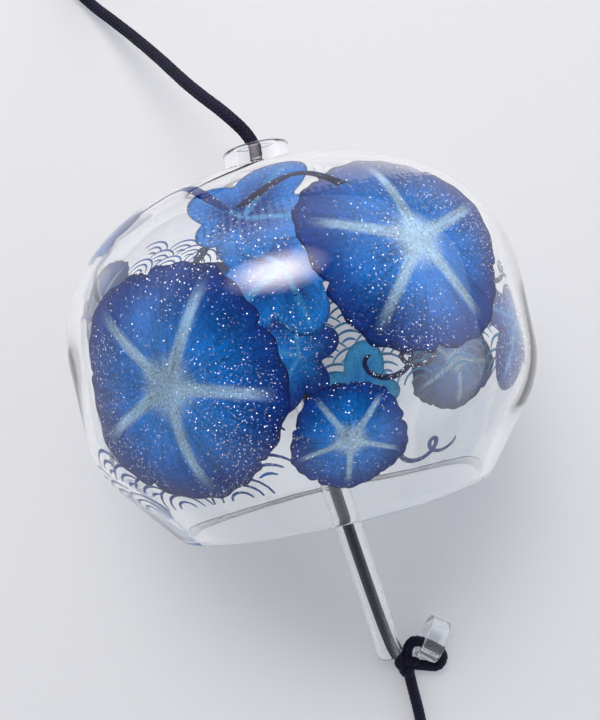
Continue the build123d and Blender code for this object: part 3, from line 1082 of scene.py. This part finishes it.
def lay_film(rows, centre, turn, layer, closed):
    """Lays a drawn grid on the wall: rows of (across, down, dye, cover, brush), in millimetres.
    A closed grid is round, and its first row is drawn in to a middle point."""
    angle0, run0 = centre
    first, wide, last = len(film_verts), len(rows[0]), len(rows) - 1
    size = len(rows) * wide
    front = first_lift - layer_lift * layer - film_lift * (first % 7)
    lifts = (front, front - film_thickness)
    for lift in lifts:
        for row in rows:
            for across, down, dye, cover, brush in row:
                x = across * cos(turn) - down * sin(turn)
                run = run0 + (across * sin(turn) + down * cos(turn))
                angle = angle0 + x / max(wall_at(run)[0], narrowest)
                film_verts.append(on_wall(angle, run, lift))
                film_dye.append((*dye, cover))
                film_brush.append((*brush, layer))

    def at(row, column):
        return first + row * wide + column % wide

    columns = wide if closed else wide - 1
    for row in range(last):
        for column in range(columns):
            a, b = at(row, column), at(row, column + 1)
            c, d = at(row + 1, column + 1), at(row + 1, column)
            film_faces.append((a, b, c, d))
            film_faces.append((a + size, d + size, c + size, b + size))
    edges = []
    if closed:
        for lift in lifts:
            film_verts.append(on_wall(angle0, run0, lift))
            film_dye.append((*rows[0][0][2], rows[0][0][3]))
            film_brush.append((0.0, 0.0, layer))
        middle = first + 2 * size
        for column in range(wide):
            here, after = at(0, column), at(0, column + 1)
            film_faces.append((middle, after, here))
            film_faces.append((middle + 1, here + size, after + size))
            edges.append((at(last, column), at(last, column + 1)))
    else:
        for column in range(columns):
            edges.append((at(last, column), at(last, column + 1)))
            edges.append((at(0, column + 1), at(0, column)))
        for row in range(last):
            edges.append((at(row, 0), at(row + 1, 0)))
            edges.append((at(row + 1, wide - 1), at(row, wide - 1)))
    for a, b in edges:
        film_faces.append((b, a, a + size, b + size))


print("films so far:", len(film_faces), "faces")

# %% [markdown]
# The design is a generic summer one: morning-glory flowers with their leaves and tendrils.
# Flowers and leaves are both drawn ring by ring about a middle point. All that changes is
# which point and which paint belong to an angle and to a share of the way out. Two small
# helpers mix the dyes and ease one value into another, as a wet brush does.


# %% Round forms
def mix(first, second, share):
    share = min(max(share, 0.0), 1.0)
    return tuple(a + (b - a) * share for a, b in zip(first, second))


def smooth(low, high, value):
    share = min(max((value - low) / (high - low), 0.0), 1.0)
    return share * share * (3 - 2 * share)


def lay_round(drawn, middle, rings, spokes, angle, depth, turn, layer):
    """A round form, ring by ring: 'drawn' gives a point and its paint at an angle and a share."""
    rows = []
    for ring in range(rings + 1):
        share = middle + (1 - middle) * ring / rings
        rows.append([drawn(2 * pi * spoke / spokes, share) for spoke in range(spokes)])
    lay_film(rows, (radians(angle), run_at(depth)), radians(turn), layer, True)


halfway = smooth(0.0, 1.0, 0.5)
print("halfway between navy and star:", [round(value, 3) for value in mix(navy, star, halfway)])

# %% [markdown]
# A morning glory seen from the front is a disc of five joined petals with a fold between each
# two. 'fold' is nought in the middle of a fold's ray and one on the line between two rays, so
# the wavy outline, the rays of the star and the paler throat all follow from it and from the
# share of the way out. The petals deepen from azure to royal, with a thin navy rim.


# %% Flowers
petals = 5
ray_width, ray_fades = (0.03, 0.10), (0.62, 0.93)
petal_deepens, rim_deepens = (0.35, 0.98), (0.93, 1.0)


def blossom(angle, depth, radius, turn, heart=0.10):
    """A morning-glory flower: joined petals, a pale star and a pale throat."""

    def drawn(t, share):
        fold = abs((t * petals / (2 * pi) + 0.5) % 1 - 0.5) * 2
        edge = 0.94 + 0.06 * (1 - fold) ** 2 - 0.05 * smooth(0.9, 1.0, fold)
        edge += 0.012 * sin(23 * t + angle)
        reach = radius * share * (1 + (edge - 1) * share**2)
        ray = 1 - smooth(*ray_width, fold * share * 1.25 - 0.05 * (1 - share))
        ray *= 1 - smooth(*ray_fades, share)
        dye = mix(azure, royal, smooth(*petal_deepens, share + 0.10 * (0.5 - fold)))
        dye = mix(dye, navy, 0.75 * smooth(*rim_deepens, share))
        dye = mix(dye, star, 0.9 * ray)
        dye = mix(star, dye, smooth(heart, heart + 0.22, share + 0.05 * (fold - 0.5)))
        cover = 0.93 - 0.10 * ray - 0.10 * (1 - smooth(heart, heart + 0.2, share))
        return reach * cos(t), reach * sin(t), dye, cover, (t / (2 * pi) * petals, share)

    lay_round(drawn, 0.03, 22, 150, angle, depth, turn, flower_layer)


blossom(122, 38, 19.0, 20)
blossom(58, 25, 18.0, 50)
blossom(84, 51, 9.0, 10, 0.14)
blossom(248, 28, 15.0, 35)
blossom(322, 46, 12.0, 5)
blossom(186, 20, 10.0, 70)
print("flowers:", len(film_faces), "faces of film")

# %% [markdown]
# A leaf is drawn in the same way about the foot of its stalk. Its outline is the longest of
# five lobes at each angle, each lobe a power of a cosine, so the lobes run into each other
# softly. Paler veins follow the three main ones, and the rim is painted darker.


# %% Leaves
lobes = [(0.0, 1.0, 2.6)] + [(way * 1.25, 0.74, 2.2) for way in (1, -1)]
lobes += [(way * 2.35, 0.5, 2.4) for way in (1, -1)]
main_veins, leaf_foot = 3, 0.26
vein_width, vein_fades = (0.015, 0.06), (0.75, 0.95)


def leaf(angle, depth, size, turn, first, second):
    """A lobed leaf about the foot of its stalk, with paler veins."""

    def drawn(t, share):
        t -= pi
        edges = [length * max(0.0, cos(t - where)) ** sharp for where, length, sharp in lobes]
        reach = size * max(leaf_foot, *edges) * share
        vein = min(abs(t - where) for where, length, sharp in lobes[:main_veins])
        vein = (1 - smooth(*vein_width, vein * share)) * (1 - smooth(*vein_fades, share))
        dye = mix(first, second, smooth(0.1, 0.9, share))
        dye = mix(dye, pale, 0.55 * vein)
        dye = mix(dye, navy, 0.6 * smooth(0.9, 1.0, share))
        return reach * sin(t), reach * cos(t), dye, 0.9, (t * 2, share)

    lay_round(drawn, 0.04, 14, 96, angle, depth, turn, leaf_layer)


leaf(97, 17, 15.5, 150, royal, azure)
leaf(91, 38, 12.5, 245, azure, royal)
leaf(90, 25, 14.5, 300, royal, azure)
leaf(160, 55, 13.0, 15, royal, azure)
leaf(152, 14, 11.0, 200, azure, royal)
leaf(30, 40, 12.0, 320, azure, royal)
leaf(285, 50, 13.0, 200, azure, pale)
leaf(220, 46, 12.0, 100, royal, azure)
print("with leaves:", len(film_faces))

# %% [markdown]
# Behind the flowers lies the old pattern of waves in overlapping scales, three arcs in each,
# row over row. Each arc is a short film of its own, cut off where the next row of scales
# covers it. It repeats, but it follows the wall's own coordinates and becomes part of the one
# film, so it is drawn here with the rest and not by a tree.


# %% Waves in scales
def covered_to(reach, size):
    """The angle up to which an arc is covered by the scale below and beside it."""
    low = 0.0
    while low < pi / 2 and hypot(reach * cos(low) - size, reach * sin(low) + size / 2) < size:
        low += 0.05
    return low


def wave_scales(first_angle, last_angle, first_depth, rows_down, size, first, second, cover=0.85):
    """Rows of scales from one angle to another, each of three arcs."""
    ring_shares, arc_steps, line_share = (1.0, 0.68, 0.36), 10, 0.055
    for row in range(rows_down):
        run = run_at(first_depth) + row * size / 2
        step = 2 * size / wall_at(run)[0]
        for number in range(int((radians(last_angle) - radians(first_angle)) / step)):
            angle = radians(first_angle) + step * (number + 0.5 * (row % 2) + 0.5)
            for ring in ring_shares:
                low = 0.0 if row == rows_down - 1 else covered_to(size * ring, size)
                arc = []
                for bit in range(arc_steps + 1):
                    t = low + (pi - 2 * low) * bit / arc_steps
                    wide = line_share * size * (1 - 0.45 * abs(2 * bit / arc_steps - 1) ** 2)
                    dye = mix(first, second, ring * 0.8 + 0.1 * row)
                    cells = []
                    for column in (-1, 0, 1):
                        r = size * ring - wide + column * wide
                        cells.append((r * cos(t), -r * sin(t), dye, cover, (t, column * 0.3)))
                    arc.append(cells)
                lay_film(arc, (angle, run), 0.0, scale_layer, False)


wave_scales(96, 172, 50, 4, 5.2, azure, royal)
wave_scales(176, 356, 33, 7, 5.6, azure, pale, 0.75)
wave_scales(196, 330, 12, 3, 4.6, royal, azure, 0.8)
print("with waves:", len(film_faces))

# %% [markdown]
# A brush stroke is a smooth line through a few points on the wall, full in the middle and fine
# at its tips, and a little darker along its edges, where paint gathers. A curve with a bevel
# would give a round wire, and a brush leaves a flat band, so the line is widened on the wall to
# both sides. The smooth line passes through every point, which a NURBS curve wouldn't.


# %% A brush stroke
def line_through(points, steps):
    """A smooth line that passes through every point."""
    knots = [points[0], *points, points[-1]]
    spans = len(points) - 1
    line = []
    for step in range(steps + 1):
        t = spans * step / steps
        span = min(int(t), spans - 1)
        t -= span
        point = []
        for a, b, c, d in zip(*knots[span : span + 4]):
            bend, swing = 2 * a - 5 * b + 4 * c - d, 3 * b - a - 3 * c + d
            point.append(0.5 * (2 * b + (c - a) * t + bend * t * t + swing * t**3))
        line.append(tuple(point))
    return line


def stroke(points, width, first, second, cover=0.9, tips=(0.15, 0.1), steps=90):
    """A brush stroke through (angle, depth) points."""
    line = line_through([(radians(angle), run_at(depth)) for angle, depth in points], steps)
    middle = line[steps // 2]
    rows, travelled = [], 0.0
    for index, (angle, run) in enumerate(line):
        before, after = line[max(index - 1, 0)], line[min(index + 1, steps)]
        radius = max(wall_at(run)[0], narrowest)
        dx, dy = (after[0] - before[0]) * radius, after[1] - before[1]
        size = hypot(dx, dy) or 1e-9
        travelled += size / 2
        share = index / steps
        full = smooth(0, tips[0], share) ** 0.6 * smooth(0, tips[1], 1 - share) ** 0.6
        half = width / 2 * max(full, 0.08) * (1 + 0.12 * sin(travelled * 0.35 + width * 7))
        row = []
        for across in (-1.0, -0.5, 0.0, 0.5, 1.0):
            x = (angle - middle[0]) * radius - dy / size * half * across
            y = run - middle[1] + dx / size * half * across
            dye = mix(mix(first, second, share), navy, 0.45 * abs(across) ** 3)
            thin = cover * (1 - 0.06 * (1 - abs(across)))
            row.append((x, y, dye, thin, (travelled * 0.12, across * 0.5)))
        rows.append(row)
    lay_film(rows, middle, 0.0, stem_layer, False)


print("a stroke keeps", len(line_through([(0, 0), (1, 1), (2, 0)], 8)), "points of 8 steps")

# %% [markdown]
# The stalks join flowers and leaves, and lie behind them all. A tendril is a finer stroke whose
# points wind twice round while they drift along, which draws a spiral that opens to one side.


# %% Stalks and tendrils
def tendril(angle, depth, length, curl, dye, steps=21):
    """A fine shoot that ends in a spiral; curl says to which side."""
    radius = wall_at(run_at(depth))[0]
    points = [(angle, depth)]
    for step in range(1, steps + 1):
        t = step / steps
        reach = length * (1 - 0.62 * t)
        x = length * 0.55 * t * 2 - reach * sin(t * 4 * pi) * 0.28
        y = -reach * cos(t * 4 * pi) * 0.28 + length * 0.28
        points.append((angle + degrees(x * curl / radius), depth + y * 0.8))
    stroke(points, 0.75, dye, dye, cover=0.92, tips=(0.05, 0.2), steps=160)


stroke([(58, 25), (76, 12), (97, 15), (112, 24), (122, 38)], 1.5, navy, navy)
stroke([(84, 51), (90, 44), (91, 38), (97, 30), (97, 17)], 1.2, navy, royal)
stroke([(122, 38), (148, 46), (160, 55)], 1.3, navy, navy)
stroke([(58, 25), (40, 33), (30, 40)], 1.2, navy, royal)
stroke([(97, 17), (124, 9), (152, 14), (186, 20)], 1.3, royal, navy)
stroke([(186, 20), (215, 30), (220, 46)], 1.1, navy, royal)
tendril(76, 40, 9.0, -1, navy)
tendril(38, 30, 8.0, -1, navy)
tendril(140, 22, 8.0, 1, royal)
tendril(70, 53, 8.0, -1, royal)
print("with stalks and tendrils:", len(film_faces))

# %% [markdown]
# All films become one mesh. The dye of each point, with its cover, and the way of the brush are
# kept on the points as attributes, which a material can read by name.

# %% The painted film
film_mesh = bpy.data.meshes.new("painted_flowers_and_water")
film_mesh.from_pydata(film_verts, [], film_faces)
faced_outwards(film_mesh)
dye_layer = film_mesh.attributes.new("dye", "FLOAT_COLOR", "POINT")
dye_layer.data.foreach_set("color", [value for dye in film_dye for value in dye])
brush_layer = film_mesh.attributes.new("brush", "FLOAT_VECTOR", "POINT")
brush_layer.data.foreach_set("vector", [value for brush in film_brush for value in brush])
print("painted film:", len(film_verts), "points")

# %% [markdown]
# Glass paint is a thin stain, never quite even: it shows the hairs of the brush, pools where it
# was wet, and has a grain. Three noises are added to one wash, which makes the dye lighter and
# the film thinner in the same places. Alpha lets the table through; a transmission colour would
# look like stained glass, and this paint is more milky than that.

# %% Glass paint
paint_material, paint = new_material("glass_paint")
dye = add(paint_material, "ShaderNodeAttribute", attribute_name="dye").outputs
brush = add(paint_material, "ShaderNodeAttribute", attribute_name="brush").outputs["Vector"]
hairs = noise(paint_material, 2.0, 3.0, stretched(paint_material, brush, (9.0, 1.2, 3.0)))
pools = noise(paint_material, 120.0, 3.0)
speckle = mapped(paint_material, noise(paint_material, 2600.0), 0.3, 0.7, -0.22, 0.22)
wash = maths(paint_material, "ADD", hairs, pools)
wash = maths(paint_material, "ADD", wash, speckle)
lighter = mapped(paint_material, wash, 0.65, 1.35, 0.5, 1.65)
shade = {0: dye["Color"], "Scale": lighter}
shade = add(paint_material, "ShaderNodeVectorMath", shade, operation="SCALE").outputs[0]
connect(paint_material, shade, paint.inputs["Base Color"])
thick = mapped(paint_material, wash, 0.7, 1.35, 1.06, 0.84)
cover = maths(paint_material, "MULTIPLY", dye["Alpha"], thick, use_clamp=True)
connect(paint_material, cover, paint.inputs["Alpha"])
finish_of(paint, {"Roughness": 0.45, "Specular IOR Level": 0.12})
film_mesh.materials.append(paint_material)
shown("painted_flowers_and_water", film_mesh, "bell", "bell_glass")

# %% [markdown]
# Flecks of silver foil were dusted into the wet paint. Particles could scatter them; a tree
# does it with a fixed seed, so the flecks lie the same on every run. Each is a closed, nearly
# flat flake of four sides with its own size and tilt, so that a few catch the lamp and the rest
# stay grey. A noise crowds them in drifts, as dusting does.


# %% The flecks' tree
def fleck_tree():
    """Flakes over the faces: 'Density' to a square metre where they crowd, 'Size' their radius."""
    sizes = {"Density": 1.1e7, "Size": 0.10 * MM, "Lift": 0.03 * MM, "Seed": 4}
    least = 0.5e6
    tree = Tree("flecks", sizes)
    given = tree.given
    patches = tree.node("ShaderNodeTexNoise", {"Scale": 70.0, "Detail": 3.0})[0]
    crowd = tree.math("POWER", mapped(tree, patches, 0.40, 0.78), 1.5)
    thick = tree.math("ADD", tree.math("MULTIPLY", crowd, given["Density"]), least)
    dust = {"Mesh": given["Geometry"], "Density": thick, "Seed": given["Seed"]}
    scatter = "GeometryNodeDistributePointsOnFaces"
    spots = tree.node(scatter, dust, distribute_method="RANDOM")
    tilts = {0: (-0.5, -0.5, -3.1), 1: (0.5, 0.5, 3.1), "Seed": given["Seed"]}
    tilt = tree.node("FunctionNodeRandomValue", tilts, data_type="FLOAT_VECTOR")[0]
    turn = {"Rotation": spots["Rotation"], "Rotate By": tilt}
    turned = tree.node("FunctionNodeRotateEuler", turn, space="LOCAL")[0]
    spread = {2: 0.4, 3: 1.35, "Seed": 9}
    size = tree.node("FunctionNodeRandomValue", spread, data_type="FLOAT")[1]
    thin = tree.math("MULTIPLY", given["Size"], 0.08)
    flat = {"Vertices": 4, "Side Segments": 1, "Radius Top": 0.0, "Depth": thin}
    flat["Radius Bottom"] = given["Size"]
    flake = tree.node("GeometryNodeMeshCone", flat, fill_type="NGON")[0]
    lift = {"Geometry": spots["Points"], "Offset": tree.scaled(spots["Normal"], given["Lift"])}
    raised = tree.node("GeometryNodeSetPosition", lift)[0]
    laid = {"Points": raised, "Instance": flake, "Rotation": turned, "Scale": size}
    return tree.finish(tree.node("GeometryNodeInstanceOnPoints", laid)[0])


flecks = fleck_tree()
print("flecks tree:", len(flecks.nodes), "nodes")

# %% [markdown]
# The foil lies between the paint and the glass, so the flecks are scattered only on the film's
# front. The other faces are left out of a copy before the tree is applied.
# Metal needs only its colour and a roughness: what it mirrors does the rest.

# %% Silver flecks
foil_tones = [(0.3, (0.75, 0.82, 0.9)), (0.7, (0.98, 0.98, 0.98))]
fleck_faces = 5
fleck_material, foil = new_material("silver_fleck")
finish_of(foil, {"Metallic": 1.0, "Roughness": 0.2})
foil_tone = ramp(fleck_material, noise(fleck_material, 900.0), foil_tones)
connect(fleck_material, foil_tone, foil.inputs["Base Color"])
front = bmesh.new()
front.from_mesh(film_mesh)
behind = []
for face in front.faces:
    centre = face.calc_center_median()
    out = Vector((centre.x, 0, centre.z - axis_height))
    if face.normal.dot(out) < 0 or face.normal.length == 0:
        behind.append(face)
bmesh.ops.delete(front, geom=behind, context="FACES")
front_mesh = bpy.data.meshes.new("front_film")
front.to_mesh(front_mesh)
front.free()
fleck_mesh = apply_tree(flecks, front_mesh, fleck_material)
shown("silver_flecks", fleck_mesh, "bell", "bell_glass")
print("flecks:", len(fleck_mesh.polygons) // fleck_faces)

# %% [markdown]
# The strip is a plain narrow card that catches the wind. It hangs by a punched hole and lies
# flat on the table. Its solid already has the right shape, so it stays and only gets its
# finish: paper fibres drawn out along the card, and a wash of pale blue at the lower end, whose
# edge a slow noise makes uneven, as water does.

# %% Paper strip
wash_tones = [(0.05, (0.20, 0.42, 0.72)), (0.55, (0.62, 0.75, 0.88)), (1.0, (0.88, 0.90, 0.90))]
wet_end, dry_end, edge_share = neck_top - 0.262, neck_top - 0.2, 0.35
strip_material, card = new_material("washed_card")
down = split(strip_material, coordinates(strip_material))[1]
edge = maths(strip_material, "MULTIPLY", noise(strip_material, 60.0, 3.0), edge_share)
washed = maths(strip_material, "ADD", mapped(strip_material, down, wet_end, dry_end), edge)
tint = ramp(strip_material, washed, wash_tones)
connect(strip_material, tint, card.inputs["Base Color"])
finish_of(card, {"Roughness": 0.8})
fibres = noise(strip_material, 900.0, 4.0, coordinates(strip_material, (1.0, 0.25, 1.0)))
roughen(strip_material, card, fibres, 0.35, 0.1 * MM)
strip_node = frame["nodes"]["paper_strip"]
strip_node.data.materials.clear()
strip_node.data.materials.append(strip_material)
print("paper strip:", len(strip_material.node_tree.nodes), "nodes")

# %% [markdown]
